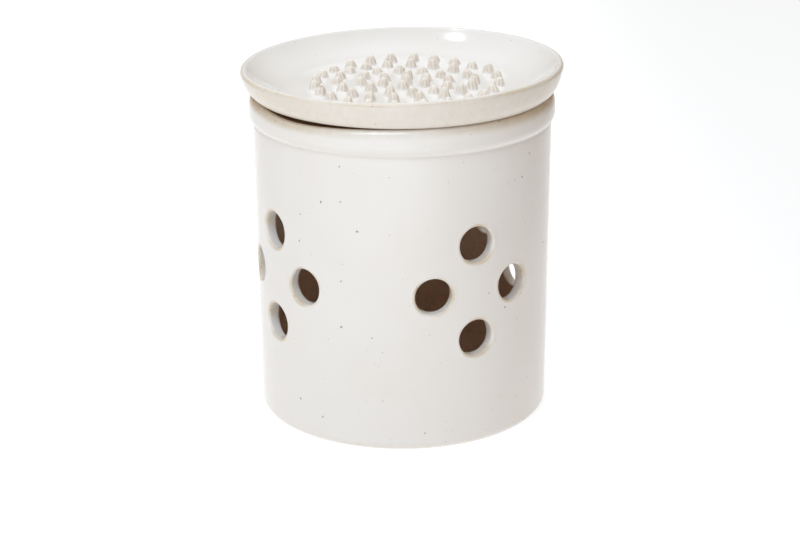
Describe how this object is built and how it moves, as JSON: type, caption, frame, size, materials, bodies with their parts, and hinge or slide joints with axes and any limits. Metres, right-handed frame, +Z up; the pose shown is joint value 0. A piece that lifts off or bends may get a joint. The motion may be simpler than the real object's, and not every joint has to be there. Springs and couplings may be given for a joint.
{
  "type": "garlic keeper",
  "caption": "Round stoneware garlic keeper: a pot with clusters of round vents in its wall, and a lift-off dish lid with fluted grating points.",
  "frame": {"origin": "centre of the foot, on the surface it stands on", "axes": "+Z is up along the throwing axis; the four clusters of vents face roughly -Y, +X, +Y and -X"},
  "size_m": [0.09, 0.09, 0.1],
  "materials": {
    "speckled_glaze": "gloss off-white glaze with fine iron specks",
    "lid_glaze": "gloss off-white glaze that breaks to beige at the rim",
    "bare_clay": "matt bare stoneware"
  },
  "bodies": {
    "pot": {"pot": "speckled_glaze"},
    "lid": {"grater_lid": "lid_glaze", "grater_teeth": "bare_clay"}
  },
  "joints": [
    {"name": "lid_lift", "type": "slide", "parent": "pot", "child": "lid", "axis": [0, 0, 1], "range_m": [0, 0.12]}
  ]
}
